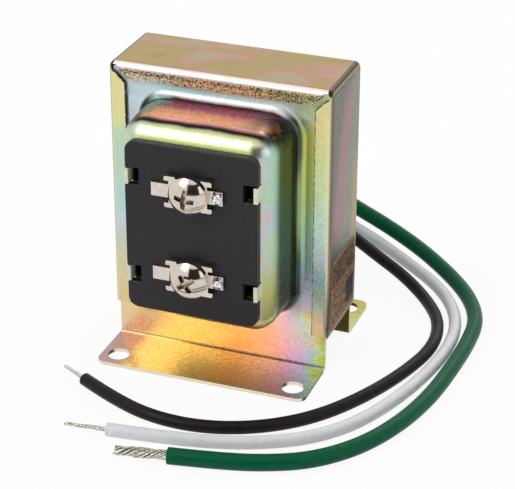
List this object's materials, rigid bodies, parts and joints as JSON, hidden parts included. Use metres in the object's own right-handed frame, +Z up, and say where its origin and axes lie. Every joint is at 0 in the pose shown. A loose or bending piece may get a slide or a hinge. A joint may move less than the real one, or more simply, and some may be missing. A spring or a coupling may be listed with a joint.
{
  "type": "step-down transformer",
  "caption": "Foot-mounted step-down transformer: laminated core in a plated band, drawn covers, black board with screw terminals, loose insulated leads at the back",
  "frame": {"origin": "centre of the four foot holes, on the underside of the feet", "axes": "+X to the right seen from the terminals, +Y to the back where the leads leave, +Z up; the terminals face -Y"},
  "size_m": [0.0806, 0.1072, 0.065],
  "materials": {
    "plating": "yellow zinc plate with a shifting rainbow sheen",
    "core_steel": "varnished silicon steel sheet",
    "bobbin_nylon": "moulded nylon",
    "magnet_wire": "enamelled copper wire",
    "coil_tape": "polyester tape",
    "cutout_can": "moulded can",
    "board": "black phenolic board",
    "nickel": "bright nickel plate",
    "solder": "bright rough solder",
    "sleeving": "plain insulating sleeve",
    "bushing_nylon": "black nylon",
    "black_insulation": "satin vinyl",
    "white_insulation": "satin vinyl",
    "green_insulation": "satin vinyl",
    "tinned_strands": "tinned copper strands"
  },
  "bodies": {
    "root": {"front_cover": "plating", "rear_cover": "plating", "clamp_band": "plating", "e_laminations": "core_steel", "i_laminations": "core_steel", "bobbin": "bobbin_nylon", "primary_winding": "magnet_wire", "secondary_winding": "magnet_wire", "primary_wrap": "coil_tape", "secondary_wrap": "coil_tape", "thermal_cutout": "cutout_can", "cutout_tape": "coil_tape", "terminal_board": "board", "upper_terminal_strip": "nickel", "lower_terminal_strip": "nickel", "upper_clamp_plate": "nickel", "lower_clamp_plate": "nickel", "upper_terminal_screw": "nickel", "lower_terminal_screw": "nickel", "upper_solder_joint": "solder", "lower_solder_joint": "solder", "upper_secondary_wire": "sleeving", "lower_secondary_wire": "sleeving", "lead_bushing": "bushing_nylon", "black_splice": "sleeving", "white_splice": "sleeving", "ground_strap": "nickel", "black_lead": "black_insulation", "white_lead": "white_insulation", "green_lead": "green_insulation", "black_lead_strands": "tinned_strands", "white_lead_strands": "tinned_strands", "green_lead_strands": "tinned_strands"}
  },
  "joints": []
}
